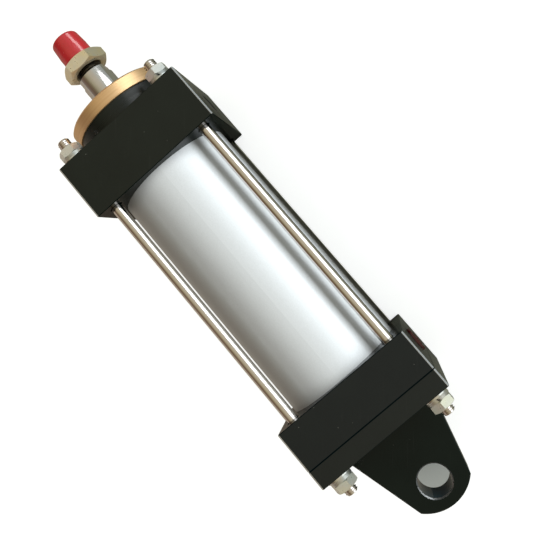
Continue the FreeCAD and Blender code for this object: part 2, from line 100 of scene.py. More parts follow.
DAYLIGHT = (0.94, 0.975, 1.0)
WINDOW_WIDTH = 1.77
WINDOW_HEIGHT = 1.2
FLAG_BELOW_TOP = 23.0 * MM
FLAG_AWAY = 11.0 * MM


# ---- materials: short ways to write a node network -------------------------------------------
class Surface:
    """One Principled material. Patterns are read in the piece's own frame, in metres."""

    def __init__(self, name, **sockets):
        self.material = bpy.data.materials.new(name)
        self.material.use_nodes = True
        self.tree = self.material.node_tree
        self.shader = self.tree.nodes["Principled BSDF"]
        self.place = self.tree.nodes.new("ShaderNodeTexCoord").outputs["Object"]
        for label, value in sockets.items():
            self.shader.inputs[label.replace("_", " ")].default_value = value

    def node(self, kind, inputs=(), **settings):
        made = self.tree.nodes.new(kind)
        for name, value in settings.items():
            setattr(made, name, value)
        for key, value in dict(inputs).items():
            if isinstance(value, bpy.types.NodeSocket):
                self.tree.links.new(value, made.inputs[key])
            else:
                made.inputs[key].default_value = value
        return made

    def calc(self, operation, a, b=0.0, clamp=False):
        return self.node("ShaderNodeMath", {0: a, 1: b}, operation=operation, use_clamp=clamp).outputs[0]

    def stretched(self, scale):
        """The place, stretched by a factor along each axis."""
        return self.node("ShaderNodeVectorMath", {0: self.place, 1: scale}, operation="MULTIPLY").outputs[0]

    def noise(self, scale, detail=2.0, roughness=0.5, vector=None):
        inputs = {"Vector": vector or self.place, "Scale": scale, "Detail": detail, "Roughness": roughness}
        return self.node("ShaderNodeTexNoise", inputs).outputs["Fac"]

    def ramp(self, fac, stops):
        """Colour or grey along fac; stops are (position, value)."""
        made = self.node("ShaderNodeValToRGB", {"Fac": fac})
        elements = made.color_ramp.elements
        while len(elements) < len(stops):
            elements.new(0.5)
        for element, (position, value) in zip(elements, stops):
            element.position = position
            element.color = (*value, 1.0) if isinstance(value, tuple) else (value, value, value, 1.0)
        return made.outputs["Color"]

    def spread(self, fac, low, high):
        """fac, which lies about the middle of 0 to 1, taken to low..high."""
        inputs = {"Value": fac, "From Min": 0.3, "From Max": 0.7, "To Min": low, "To Max": high}
        return self.node("ShaderNodeMapRange", inputs).outputs["Result"]

    def mix(self, fac, a, b):
        made = self.node("ShaderNodeMix", data_type="RGBA")
        for socket, value in ((made.inputs[0], fac), (made.inputs[6], a), (made.inputs[7], b)):
            if isinstance(value, bpy.types.NodeSocket):
                self.tree.links.new(value, socket)
            elif isinstance(value, tuple):
                socket.default_value = (*value, 1.0)
            else:
                socket.default_value = value
        return made.outputs[2]

    def specks(self, cells, size, share):
        """1 on small round specks.
        cells is their number per metre, size is a part of a cell, and share is how many cells have one."""
        voronoi = self.node("ShaderNodeTexVoronoi", {"Vector": self.place, "Scale": cells})
        chance = self.node("ShaderNodeSeparateColor", {"Color": voronoi.outputs["Color"]})
        chosen = self.calc("LESS_THAN", chance.outputs[0], share)
        radius = self.calc("MULTIPLY", chance.outputs[1], size)
        near = self.calc("LESS_THAN", voronoi.outputs["Distance"], radius)
        return self.calc("MULTIPLY", chosen, near)

    def scratches(self, along, turn, rarity):
        """1 on fine, long, nearly straight scratches that run along one direction."""
        turned = self.node("ShaderNodeVectorRotate", {"Vector": self.place, "Rotation": turn},
                           rotation_type="EULER_XYZ").outputs[0]
        drawn = self.node("ShaderNodeVectorMath", {0: turned, 1: along}, operation="MULTIPLY").outputs[0]
        return self.calc("GREATER_THAN", self.noise(1.0, 1.0, 0.4, drawn), rarity)

    def distance_from(self, axis):
        """Distance from the line through the origin along axis, 'X' or 'Z'."""
        parts = self.node("ShaderNodeSeparateXYZ", {"Vector": self.place})
        first = parts.outputs[1 if axis == "X" else 0]
        second = parts.outputs[2 if axis == "X" else 1]
        total = self.calc("ADD", self.calc("MULTIPLY", first, first), self.calc("MULTIPLY", second, second))
        return self.calc("SQRT", total)

    def finish(self, colour=None, roughness=None, metallic=None, height=None, distance=0.0, strength=1.0):
        for socket, value in (("Base Color", colour), ("Roughness", roughness), ("Metallic", metallic)):
            if value is not None:
                self.tree.links.new(value, self.shader.inputs[socket])
        if height is not None:
            inputs = {"Height": height, "Distance": distance, "Strength": strength}
            bump = self.node("ShaderNodeBump", inputs)
            self.tree.links.new(bump.outputs["Normal"], self.shader.inputs["Normal"])
        return self.material


def turned_marks(s, fineness):
    """Concentric lathe marks about X: a pattern that depends only on radius and on the place along X."""
    radius = s.distance_from("X")
    along = s.node("ShaderNodeSeparateXYZ", {"Vector": s.place}).outputs[0]
    lane = s.node("ShaderNodeCombineXYZ", {0: radius, 1: along}).outputs[0]
    return s.noise(fineness, 3.0, 0.6, lane)


def black_enamel(name="black_enamel", specular=0.42, bare=None, turned=None, blue=0.0, wall=None):
    """Glossy black enamel with orange peel, hazy patches, dust and a few faint scratches.
    The sawn and faced ends carry a thinner, flatter coat.
    bare and turned, if given, are functions that return where the machined steel is left unpainted
    and where lathe marks show through the paint; wall, where the paint is thin and slate grey."""
    s = Surface(name, IOR=1.5, Specular_IOR_Level=specular)
    haze = s.noise(38.0, 4.0, 0.6)
    peel = s.noise(620.0, 2.0, 0.5)
    fine = s.noise(2600.0, 2.0, 0.5)
    dust = s.specks(300.0, 0.12, 0.16)
    lines = s.scratches((30.0, 2100.0, 2100.0), (0.0, 0.0, 0.7), 0.745)
    colour = s.ramp(haze, [(0.3, (0.0014, 0.0050, 0.0040 + blue)), (0.7, (0.0030, 0.0074, 0.0058 + blue))])
    colour = s.mix(s.calc("MULTIPLY", dust, 0.4), colour, (0.16, 0.16, 0.14))
    colour = s.mix(s.calc("MULTIPLY", lines, 0.06), colour, (0.10, 0.10, 0.10))
    gloss = s.calc("ADD", s.spread(haze, 0.17, 0.25), s.calc("MULTIPLY", dust, 0.4), clamp=True)
    height = s.calc("ADD", peel, s.calc("MULTIPLY", fine, 0.12))
    height = s.calc("ADD", height, s.calc("MULTIPLY", dust, 1.6))
    if wall:
        thin = wall(s)
        slate = s.ramp(haze, [(0.3, (0.016, 0.034, 0.044)), (0.7, (0.026, 0.048, 0.060))])
        colour = s.mix(thin, colour, slate)
    metal = None
    edge = s.calc("MULTIPLY", on_long_edges(s), 0.85)
    if turned:
        where = turned(s)
        marks = turned_marks(s, 1900.0)
        gloss = s.calc("ADD", gloss, s.calc("MULTIPLY", where, s.spread(marks, 0.02, 0.20)))
        height = s.calc("ADD", height, s.calc("MULTIPLY", s.calc("MULTIPLY", marks, where), 2.2))
    if bare:
        where = bare(s)
        steel = s.ramp(s.noise(900.0, 3.0, 0.6, s.stretched((1.0, 1.0, 3.0))),
                       [(0.3, (0.20, 0.21, 0.23)), (0.7, (0.42, 0.43, 0.43))])
        colour = s.mix(where, colour, steel)
        metal = s.calc("MULTIPLY", where, 0.9)
        gloss = s.calc("ADD", gloss, s.calc("MULTIPLY", where, 0.12))
    colour = s.mix(edge, colour, (0.70, 0.74, 0.78))
    metal = s.calc("MAXIMUM", edge, metal) if metal else edge
    normal = s.node("ShaderNodeNewGeometry").outputs["True Normal"]
    facing = s.node("ShaderNodeSeparateXYZ", {"Vector": normal})
    end_face = s.calc("GREATER_THAN", s.calc("ABSOLUTE", facing.outputs[0]), 0.7)
    index = s.calc("SUBTRACT", 1.5, s.calc("MULTIPLY", end_face, 0.36))
    s.tree.links.new(index, s.shader.inputs["IOR"])
    return s.finish(colour, gloss, metal, height, 0.00002, 0.30)


def on_long_edges(s):
    """The long edges of the square covers, where the enamel is thin."""
    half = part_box("front_head")[1].y
    parts = s.node("ShaderNodeSeparateXYZ", {"Vector": s.place})
    across = s.calc("ABSOLUTE", parts.outputs[1])
    up = s.calc("ABSOLUTE", parts.outputs[2])
    return s.calc("GREATER_THAN", s.calc("ADD", across, up), 2 * half - LONG_EDGE)


def on_boss(s):
    """The round boss in front of the front head's square block."""
    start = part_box("front_flat_washer_upper_left")[0].x
    along = s.node("ShaderNodeSeparateXYZ", {"Vector": s.place}).outputs[0]
    return s.calc("GREATER_THAN", along, start + FACE_MARGIN)


def inside_eye(s):
    """The machined chamfer at the eye's upper rim, rubbed bare in patches."""
    radius = EYE["r_mm"] * MM
    wall = EYE["length_mm"] * MM
    parts = s.node("ShaderNodeSeparateXYZ", {"Vector": s.place})
    near = s.calc("LESS_THAN", s.distance_from("Z"), radius + EYE_RIM)
    rim = s.calc("GREATER_THAN", parts.outputs[2], wall / 2 - EYE_RIM_BELOW)
    patches = s.calc("GREATER_THAN", s.noise(1500.0, 3.0, 0.6), 0.42)
    return s.calc("MULTIPLY", s.calc("MULTIPLY", near, rim), patches)


def eye_wall(s):
    """The wall of the eye's bore."""
    return s.calc("LESS_THAN", s.distance_from("Z"), EYE["r_mm"] * MM + EYE_WALL_MARGIN)


def inside_port(s):
    """The machined mouth and wall of the open port in the front head."""
    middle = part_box("front_head")[0].x + PORT_AXIS_X
    gland_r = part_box("gland_bush")[1].y
    parts = s.node("ShaderNodeSeparateXYZ", {"Vector": s.place})
    dx = s.calc("SUBTRACT", parts.outputs[0], middle)
    up = parts.outputs[2]
    across = s.calc("ADD", s.calc("MULTIPLY", dx, dx), s.calc("MULTIPLY", up, up))
    near = s.calc("LESS_THAN", s.calc("SQRT", across), PORT_MOUTH_R)
    deep = s.calc("LESS_THAN", parts.outputs[1], -gland_r * PORT_DEPTH_SHARE)
    return s.calc("MULTIPLY", near, deep)


def satin_barrel():
    """Satin silver tube: fine grain, faint drawn streaks along X, honed inside."""
    s = Surface("satin_silver_tube", Metallic=0.3)
    grain = s.noise(1500.0, 3.0, 0.65)
    broad = s.noise(30.0, 3.0, 0.5, s.stretched((0.5, 1.0, 1.0)))
    streak = s.noise(1.0, 3.0, 0.6, s.stretched((14.0, 620.0, 620.0)))
    tone = s.ramp(grain, [(0.32, (0.375, 0.392, 0.402)), (0.68, (0.425, 0.447, 0.46))])
    tone = s.mix(s.calc("MULTIPLY", streak, 0.10), tone, (0.35, 0.36, 0.37))
    tone = s.mix(s.spread(broad, 0.0, 0.08), tone, (0.375, 0.375, 0.365))
    rough = s.calc("ADD", s.spread(grain, 0.38, 0.46), s.spread(streak, -0.02, 0.02))
    height = s.calc("ADD", grain, s.calc("MULTIPLY", streak, 0.35))
    return s.finish(tone, rough, None, height, 0.000012, 0.5)


def drawn_steel():
    """Bright drawn and plated tie rods, with fine lines along X."""
    s = Surface("drawn_plated_steel", Metallic=1.0)
    lines = s.noise(1.0, 4.0, 0.65, s.stretched((22.0, 1900.0, 1900.0)))
    patch = s.noise(70.0, 3.0, 0.5)
    tone = s.ramp(patch, [(0.3, (0.80, 0.77, 0.72)), (0.7, (0.84, 0.80, 0.78))])
    tone = s.mix(s.calc("MULTIPLY", lines, 0.16), tone, (0.56, 0.52, 0.46))
    rough = s.calc("ADD", s.spread(lines, 0.07, 0.15), s.spread(patch, 0.0, 0.03))
    return s.finish(tone, rough, None, lines, 0.000010, 0.35)


def zinc_plate(name, cool, warm, metallic=0.62, rough=(0.26, 0.36), middle=(0.83, 0.84, 0.80)):
    """Bright zinc plate whose tint wanders between a cool and a warm one."""
    s = Surface(name, Metallic=metallic)
    tint = s.noise(95.0, 2.0, 0.5)
    cloud = s.noise(420.0, 3.0, 0.6)
    fine = s.noise(1700.0, 3.0, 0.6)
    tone = s.ramp(tint, [(0.34, cool), (0.50, middle), (0.66, warm)])
    tone = s.mix(s.spread(cloud, 0.0, 0.22), tone, (0.62, 0.63, 0.64))
    pits = s.specks(900.0, 0.22, 0.25)
    tone = s.mix(s.calc("MULTIPLY", pits, 0.35), tone, (0.36, 0.35, 0.33))
    rough = s.calc("ADD", s.spread(cloud, *rough), s.calc("MULTIPLY", pits, 0.2))
    height = s.calc("SUBTRACT", fine, s.calc("MULTIPLY", pits, 0.7))
    return s.finish(tone, rough, None, height, 0.000020, 0.6)


def turned_bronze():
    """Satin bronze with concentric lathe marks and slightly darker, duller patches."""
    s = Surface("turned_bronze", Metallic=0.88)
    marks = turned_marks(s, 2300.0)
    patch = s.noise(60.0, 3.0, 0.55)
    fine = s.noise(1600.0, 3.0, 0.6)
    tone = s.ramp(marks, [(0.30, (0.86, 0.56, 0.29)), (0.70, (0.96, 0.68, 0.39))])
    tone = s.mix(s.spread(patch, 0.0, 0.2), tone, (0.72, 0.46, 0.26))
    rough = s.calc("ADD", s.spread(marks, 0.32, 0.44), s.spread(fine, -0.03, 0.03))
    height = s.calc("ADD", marks, s.calc("MULTIPLY", fine, 0.3))
    return s.finish(tone, rough, None, height, 0.000018, 0.5)


def hard_chrome():
    """Polished rod chrome with hair-fine polishing lines round it and a few marks along it.
    Beyond the shoulder the steel is painted dark and made rougher: painted shade for the undercut and the
    thread under the lock nut and cap."""
    s = Surface("hard_chrome", Metallic=1.0)
    rings = turned_marks(s, 3600.0)
    haze = s.noise(80.0, 3.0, 0.5)
    marks = s.scratches((34.0, 1900.0, 1900.0), (0.0, 0.0, 0.1), 0.74)
    tone = s.ramp(haze, [(0.3, (0.70, 0.695, 0.68)), (0.7, (0.77, 0.765, 0.76))])
    tone = s.mix(s.calc("MULTIPLY", marks, 0.25), tone, (0.45, 0.44, 0.43))
    along = s.node("ShaderNodeSeparateXYZ", {"Vector": s.place}).outputs[0]
    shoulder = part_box("rod_lock_nut")[0].x - UNDERCUT_L
    # painted shade: past the shoulder the rod is darkened, standing in for the shade in the undercut under
    # the lock nut
    painted_shade_past_shoulder = s.calc("GREATER_THAN", along, shoulder + 0.05 * MM)
    painted_shade_tone = s.ramp(s.noise(700.0), [(0.3, (0.045, 0.04, 0.03)), (0.7, (0.10, 0.09, 0.07))])
    tone = s.mix(painted_shade_past_shoulder, tone, painted_shade_tone)
    rough = s.calc("ADD", s.spread(rings, 0.035, 0.075), s.calc("MULTIPLY", marks, 0.1))
    rough = s.calc("ADD", rough, s.calc("MULTIPLY", painted_shade_past_shoulder, 0.3))
    return s.finish(tone, rough, None, rings, 0.000006, 0.25)


def turned_metal():
    """Fine-turned aluminium of the piston."""
    s = Surface("turned_aluminium", Metallic=1.0)
    marks = turned_marks(s, 2600.0)
    tone = s.ramp(marks, [(0.30, (0.56, 0.565, 0.57)), (0.70, (0.72, 0.72, 0.715))])
    return s.finish(tone, s.spread(marks, 0.22, 0.36), None, marks, 0.00002, 0.6)


def moulded(name, dark, light, rough, grain, **sockets):
    """Moulded rubber or plastic: two close tones, a fine grain and uneven gloss."""
    s = Surface(name, **sockets)
    cloud = s.noise(120.0, 3.0, 0.5)
    skin = s.noise(grain, 3.0, 0.6)
    tone = s.ramp(s.calc("ADD", s.calc("MULTIPLY", cloud, 0.7), s.calc("MULTIPLY", skin, 0.3)),
                  [(0.35, dark), (0.65, light)])
    gloss = s.spread(skin, rough - 0.05, rough + 0.05)
    return s.finish(tone, gloss, None, skin, 0.00003, 0.35)


def red_plastic(name, dark, light):
    """Glossy soft red plastic with flow marks, dust and small scuffs."""
    s = Surface(name, IOR=1.55, Specular_IOR_Level=0.9, Subsurface_Weight=0.04, Subsurface_Scale=0.0012)
    s.shader.inputs["Subsurface Radius"].default_value = (1.0, 0.12, 0.08)
    flow = s.noise(1.0, 3.0, 0.5, s.stretched((45.0, 150.0, 150.0)))
    skin = s.noise(900.0, 3.0, 0.6)
    dust = s.specks(480.0, 0.13, 0.2)
    tone = s.ramp(flow, [(0.3, dark), (0.7, light)])
    tone = s.mix(s.calc("MULTIPLY", dust, 0.4), tone, (0.75, 0.30, 0.30))
    gloss = s.calc("ADD", s.spread(skin, 0.13, 0.19), s.calc("MULTIPLY", dust, 0.3))
    height = s.calc("ADD", s.calc("MULTIPLY", skin, 0.4), dust)
    return s.finish(tone, gloss, None, height, 0.00002, 0.2)


# ---- mesh helpers --------------------------------------------------------------------------
def new_piece(name, bm, material, body, smooth_angle=35.0):
    """Makes an object of bm, cleans it, shades it and lets it ride on its body."""
    bmesh.ops.remove_doubles(bm, verts=bm.verts, dist=1e-7)
    bmesh.ops.dissolve_degenerate(bm, edges=bm.edges, dist=1e-7)
    bmesh.ops.recalc_face_normals(bm, faces=bm.faces)
    for face in bm.faces:
        face.smooth = True
    sharp = math.radians(smooth_angle)
    for edge in bm.edges:
        edge.smooth = edge.calc_face_angle(0.0) < sharp
    mesh = bpy.data.meshes.new(name)
    bm.to_mesh(mesh)
    bm.free()
    piece = bpy.data.objects.new(name, mesh)
    bpy.context.scene.collection.objects.link(piece)
    mesh.materials.append(material)
    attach(piece, body)
    return piece


def even_angles():
    return [2 * math.pi * j / COLUMNS for j in range(COLUMNS)]


def ring(bm, x, radius, centre, angles, half_width=None):
    """Ring of vertices across X; half_width cuts it off on its two Y sides."""
    made = []
    for angle in angles:
        y = radius * math.sin(angle)
        z = radius * math.cos(angle)
        if half_width is not None:
            y = max(-half_width, min(half_width, y))
        made.append(bm.verts.new((x, centre.y + y, centre.z + z)))
    return made


def bridge(bm, a, b):
    """Quads between two rings of the same length."""
    count = len(a)
    for j in range(count):
        k = (j + 1) % count
        bm.faces.new((a[j], a[k], b[k], b[j]))


def turned_skin(bm, profile, centre, angles, cap_start=False):
    """Skin through rings at (x, radius) or (x, radius, half_width)."""
    rings = [ring(bm, row[0], row[1], centre, angles, row[2] if len(row) > 2 else None) for row in profile]
    for a, b in zip(rings, rings[1:]):
        bridge(bm, a, b)
    if cap_start:
        bm.faces.new(rings[0])


def thread_skin(bm, root_x, free_x, centre, crest, minor, pitch, root_r, free_r, angles):
    """Right-hand thread between root_x, where it meets a shank of radius root_r, and its free end."""
    hand = 1.0 if free_x > root_x else -1.0
    length = abs(free_x - root_x)
    profile = ((0.0, crest), (0.14, crest), (0.44, minor), (0.70, minor))
    steps = len(profile)
    count = len(angles)
    rows = (math.ceil(length / pitch) + 2) * steps
    grid = []
    for i in range(rows + 1):
        turn, step = divmod(i, steps)
        share, wanted = profile[step]
        row = []
        for j, angle in enumerate(angles):
            s = pitch * (turn + share + angle / (2 * math.pi) - 1)
            radius = min(wanted, free_r + (length - s))
            if s <= 0:
                s, radius = 0.0, root_r
            elif s >= length:
                s, radius = length, free_r
            around = hand * angle
            y = centre.y + radius * math.sin(around)
            z = centre.z + radius * math.cos(around)
            row.append(bm.verts.new((root_x + hand * s, y, z)))
        grid.append(row)
    for i in range(rows):
        for j in range(count):
            if j < count - 1:
                far = (grid[i][j + 1], grid[i + 1][j + 1])
            elif i + 1 + steps <= rows:
                far = (grid[i + steps][0], grid[i + 1 + steps][0])
            else:
                continue
            bm.faces.new((grid[i][j], far[0], far[1], grid[i + 1][j]))
    bm.faces.new(ring(bm, free_x, free_r, centre, angles))


# ---- pieces that stand for CAD nodes ----------------------------------------------------------
def make_tie_rod(corner, material):
    """Tie rod with a real M8 thread at both ends."""
    node = f"tie_rod_{corner}"
    low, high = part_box(node)
    centre = (low + high) / 2
    crest = (high.y - low.y) / 2
    rear_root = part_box("bracket_plate")[0].x + TIE_THREAD_INSIDE
    front_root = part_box("gland_bush")[1].x - GLAND_OUT - TIE_THREAD_INSIDE
    bm = bmesh.new()
    angles = even_angles()
    turned_skin(bm, [(rear_root, TIE_SHANK_R), (front_root, TIE_SHANK_R)], centre, angles)
    for root_x, free_x in ((rear_root, low.x), (front_root, high.x)):
        thread_skin(bm, root_x, free_x, centre, crest, TIE_MINOR_R, TIE_PITCH,
                    TIE_SHANK_R, crest - TIE_CHAMFER, angles)
    piece = new_piece(f"threaded_tie_rod_{corner}", bm, material, "cylinder")
    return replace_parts(piece, node)


def make_piston_rod(material):
    """Piston rod with crisp wrench flats, undercut and a real M18 x 1.5 thread."""
    low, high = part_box("piston_rod")
    centre = Vector((0.0, 0.0, 0.0))
    rod_r = high.y
    piston_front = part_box("piston")[1].x
    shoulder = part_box("rod_lock_nut")[0].x - UNDERCUT_L
    corner = math.asin(FLAT_HALF / rod_r)
    angles = sorted(set(even_angles()) | {corner, math.pi - corner, math.pi + corner, 2 * math.pi - corner})
    flat_start = shoulder - FLAT_L
    edge_r = rod_r - ROD_EDGE
    profile = [(low.x, SPIGOT_R - 1.0 * MM), (low.x + 1.0 * MM, SPIGOT_R), (piston_front, SPIGOT_R),
               (piston_front, rod_r), (flat_start, rod_r), (flat_start, rod_r, FLAT_HALF),
               (shoulder - ROD_EDGE, rod_r, FLAT_HALF), (shoulder, edge_r), (shoulder, UNDERCUT_R),
               (shoulder + UNDERCUT_L - 0.8 * MM, UNDERCUT_R)]
    bm = bmesh.new()
    turned_skin(bm, profile, centre, angles, cap_start=True)
    thread_skin(bm, profile[-1][0], high.x, centre, THREAD_CREST_R, ROD_MINOR_R, ROD_PITCH,
                UNDERCUT_R, THREAD_CREST_R - ROD_CHAMFER, angles)
    piece = new_piece("threaded_piston_rod", bm, material, "rod", 28.0)
    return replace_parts(piece, "piston_rod")


def dress(material, slot, *names):
    """Gives CAD nodes a material."""
    for name in names:
        node = NODES[name]
        node.data.materials.clear()
        node.data.materials.append(material)


def hardware(end, kind):
    return [f"{end}_{kind}_{corner}" for corner in CORNERS]


def make_pieces():
    steel = drawn_steel()
    for corner in CORNERS:
        make_tie_rod(corner, steel)
    make_piston_rod(hard_chrome())
    dress(black_enamel(blue=0.003), "black_paint", "rear_cap")
    dress(black_enamel("black_enamel_plate", 0.46, blue=0.002), "black_paint", "bracket_plate")
    dress(black_enamel("black_enamel_head", 0.42, inside_port, on_boss), "black_paint", "front_head")
    dress(black_enamel("black_enamel_lug", 0.2, inside_eye, wall=eye_wall), "black_paint", "eye_lug")
    dress(satin_barrel(), "barrel", "barrel_tube")
    pinkish = zinc_plate("pinkish_zinc", (0.80, 0.84, 0.83), (0.90, 0.78, 0.76))
    greenish = zinc_plate("greenish_zinc", (0.78, 0.86, 0.82), (0.86, 0.86, 0.70))
    yellowish = zinc_plate("yellowish_zinc", (0.87, 0.82, 0.68), (0.94, 0.82, 0.50), 0.68,
                           middle=(0.90, 0.82, 0.61))
    polished = zinc_plate("polished_zinc", (0.78, 0.84, 0.86), (0.86, 0.85, 0.80), 0.96, (0.12, 0.22))
    dull = zinc_plate("dull_zinc", (0.46, 0.50, 0.50), (0.54, 0.52, 0.46), 0.9, (0.30, 0.42))
    dress(yellowish, "zinc_plate", "rod_lock_nut", "piston_nut")
    dress(pinkish, "zinc_plate", *hardware("front", "nut"))
    dress(greenish, "zinc_plate", *hardware("rear", "nut"))
    for end in ("front", "rear"):
        dress(polished, "zinc_plate", *hardware(end, "flat_washer"))
        dress(dull, "zinc_plate", *hardware(end, "spring_washer"))
    dress(turned_bronze(), "bronze", "gland_bush")
    dress(turned_metal(), "piston_metal", "piston")
    bright_red = red_plastic("red_plastic", (0.42, 0.006, 0.014), (0.52, 0.012, 0.022))
    dress(bright_red, "red_plastic", "thread_cap")
    # painted shade: a darker copy of the red plastic, for the rear port plug on the shadowed port side
    red_in_painted_shade = red_plastic("red_plastic_in_painted_shade", (0.10, 0.004, 0.005), (0.15, 0.007, 0.008))
    dress(red_in_painted_shade, "red_plastic", "rear_port_plug")
    rubber = moulded("nitrile_rubber", (0.010, 0.010, 0.011), (0.026, 0.026, 0.027), 0.55, 1500.0)
    dress(rubber, "nitrile_rubber", "front_tube_o_ring", "rear_tube_o_ring", "gland_o_ring",
          "piston_o_ring", "rod_wiper")
    soft_blue = moulded("polyurethane", (0.03, 0.09, 0.24), (0.05, 0.14, 0.33), 0.36, 1100.0)
    dress(soft_blue, "polyurethane", "rod_seal", "piston_seal_rear", "piston_seal_front")
    guide = moulded("filled_ptfe", (0.16, 0.11, 0.05), (0.30, 0.21, 0.10), 0.5, 1300.0)
    dress(guide, "wear_ring", "piston_wear_ring")


# ---- floor, light and camera ----------------------------------------------------------------
def make_floor(z):
    """Plain pale floor, white to the camera except for a painted shadow under the eye, where its glow is
    left out.
    In reflections it is greyer, with painted shade and light: darker and cooler towards -Y, lighter and
    warmer towards +Y."""
    bm = bmesh.new()
    bmesh.ops.create_grid(bm, x_segments=1, y_segments=1, size=FLOOR_HALF)
    mesh = bpy.data.meshes.new("floor")
    bm.to_mesh(mesh)
    bm.free()
    floor = bpy.data.objects.new("floor", mesh)
    floor.location = (FLOOR_MIDDLE_X, 0.0, z)
    bpy.context.scene.collection.objects.link(floor)
    material = bpy.data.materials.new("pale_floor")
    material.use_nodes = True
    tree = material.node_tree
    tree.nodes.clear()
    output = tree.nodes.new("ShaderNodeOutputMaterial")
    path = tree.nodes.new("ShaderNodeLightPath")
    grey = tree.nodes.new("ShaderNodeBsdfDiffuse")
    parts = tree.nodes.new("ShaderNodeSeparateXYZ")
    # painted shade and light: in reflections the floor is darker towards -Y and lighter, warmer towards +Y
    side = tree.nodes.new("ShaderNodeMapRange")
    side.inputs["From Min"].default_value = -FLOOR_PAINTED_SHADE_REACH
    side.inputs["From Max"].default_value = FLOOR_PAINTED_SHADE_REACH
    painted_shade_by_side = tree.nodes.new("ShaderNodeMix")
    painted_shade_by_side.data_type = "RGBA"
    painted_shade_by_side.inputs[6].default_value = (0.46, 0.49, 0.44, 1.0)
    painted_shade_by_side.inputs[7].default_value = (0.74, 0.66, 0.62, 1.0)
    white = tree.nodes.new("ShaderNodeBsdfDiffuse")
    white.inputs["Color"].default_value = (0.70, 0.78, 0.84, 1.0)
    glow = tree.nodes.new("ShaderNodeEmission")
    place = tree.nodes.new("ShaderNodeNewGeometry")
    away = tree.nodes.new("ShaderNodeVectorMath")
    away.operation = "DISTANCE"
    away.inputs[1].default_value = (*EYE_PAINTED_SHADOW, z)
    tree.links.new(place.outputs["Position"], away.inputs[0])
    tree.links.new(place.outputs["Position"], parts.inputs[0])
    tree.links.new(parts.outputs[1], side.inputs["Value"])
    tree.links.new(side.outputs["Result"], painted_shade_by_side.inputs[0])
    tree.links.new(painted_shade_by_side.outputs[2], grey.inputs["Color"])
    # painted shadow: the glow fades out near the floor under the eye, standing in for the lug's shadow
    lit = tree.nodes.new("ShaderNodeMapRange")
    lit.inputs["From Min"].default_value = EYE_PAINTED_SHADOW_INNER
    lit.inputs["From Max"].default_value = EYE_PAINTED_SHADOW_OUTER
    lit.inputs["To Max"].default_value = FLOOR_GLOW
    tree.links.new(away.outputs["Value"], lit.inputs["Value"])
    tree.links.new(lit.outputs["Result"], glow.inputs["Strength"])
    both = tree.nodes.new("ShaderNodeAddShader")
    choose = tree.nodes.new("ShaderNodeMixShader")
    tree.links.new(white.outputs[0], both.inputs[0])
    tree.links.new(glow.outputs[0], both.inputs[1])
    tree.links.new(path.outputs["Is Camera Ray"], choose.inputs[0])
    tree.links.new(grey.outputs[0], choose.inputs[1])
    tree.links.new(both.outputs[0], choose.inputs[2])
    tree.links.new(choose.outputs[0], output.inputs[0])
    mesh.materials.append(material)


def make_room():
    """Studio walls and ceiling as a gradient round the X axis: tan overhead, brown to +Y, grey to -Y."""
    world = bpy.data.worlds.new("studio")
    bpy.context.scene.world = world
    world.use_nodes = True
    tree = world.node_tree
    tree.nodes.clear()
    place = tree.nodes.new("ShaderNodeTexCoord")
    parts = tree.nodes.new("ShaderNodeSeparateXYZ")
    tree.links.new(place.outputs["Generated"], parts.inputs[0])
    across = tree.nodes.new("ShaderNodeMath")
    across.operation = "MULTIPLY"
    across.inputs[1].default_value = -1.0
    tree.links.new(parts.outputs[1], across.inputs[0])
    angle = tree.nodes.new("ShaderNodeMath")
    angle.operation = "ARCTAN2"
    tree.links.new(across.outputs[0], angle.inputs[0])
    tree.links.new(parts.outputs[2], angle.inputs[1])
    share = tree.nodes.new("ShaderNodeMapRange")
    share.inputs["From Min"].default_value = -math.pi
    share.inputs["From Max"].default_value = math.pi
    tree.links.new(angle.outputs[0], share.inputs["Value"])
    ramp = tree.nodes.new("ShaderNodeValToRGB")
    tree.links.new(share.outputs[0], ramp.inputs["Fac"])
    # degrees from overhead, towards -Y, and the colour seen there
    stops = ((-95, (0.38, 0.36, 0.34)), (-80, (0.21, 0.15, 0.11)), (-62, (0.16, 0.105, 0.07)),
             (-48, (0.22, 0.17, 0.10)), (-32, (0.40, 0.35, 0.23)), (-10, (0.53, 0.47, 0.35)),
             (10, (0.55, 0.50, 0.40)), (28, (0.56, 0.56, 0.50)), (76, (0.42, 0.44, 0.42)),
             (95, (0.40, 0.42, 0.40)))
    elements = ramp.color_ramp.elements
    while len(elements) < len(stops):
        elements.new(0.5)
    for element, (degrees, colour) in zip(elements, stops):
        element.position = (degrees + 180) / 360
        element.color = (*colour, 1.0)
    path = tree.nodes.new("ShaderNodeLightPath")
    room = tree.nodes.new("ShaderNodeBackground")
    backdrop = tree.nodes.new("ShaderNodeBackground")
    backdrop.inputs["Color"].default_value = (0.95, 0.95, 0.95, 1.0)
    choose = tree.nodes.new("ShaderNodeMixShader")
    output = tree.nodes.new("ShaderNodeOutputWorld")
    tree.links.new(ramp.outputs["Color"], room.inputs["Color"])
    tree.links.new(path.outputs["Is Camera Ray"], choose.inputs[0])
    tree.links.new(room.outputs[0], choose.inputs[1])
    tree.links.new(backdrop.outputs[0], choose.inputs[2])
    tree.links.new(choose.outputs[0], output.inputs[0])


def area_light(name, place, aim, width, height, radiance, colour):
    """Rectangular soft light whose face shines with the given radiance."""
    light = bpy.data.lights.new(name, "AREA")
    light.shape = "RECTANGLE"
    light.size = width
    light.size_y = height
    light.energy = radiance * math.pi * width * height
    light.color = colour
    lamp = bpy.data.objects.new(name, light)
    bpy.context.scene.collection.objects.link(lamp)
    lamp.location = place
    lamp.rotation_euler = (Vector(aim) - Vector(place)).to_track_quat("-Z", "Y").to_euler()
    lamp.visible_camera = False
    return lamp


def collect(name, members):
    """A collection that a light can be limited to."""
    made = bpy.data.collections.new(name)
    for member in members:
        made.objects.link(member)
    return made


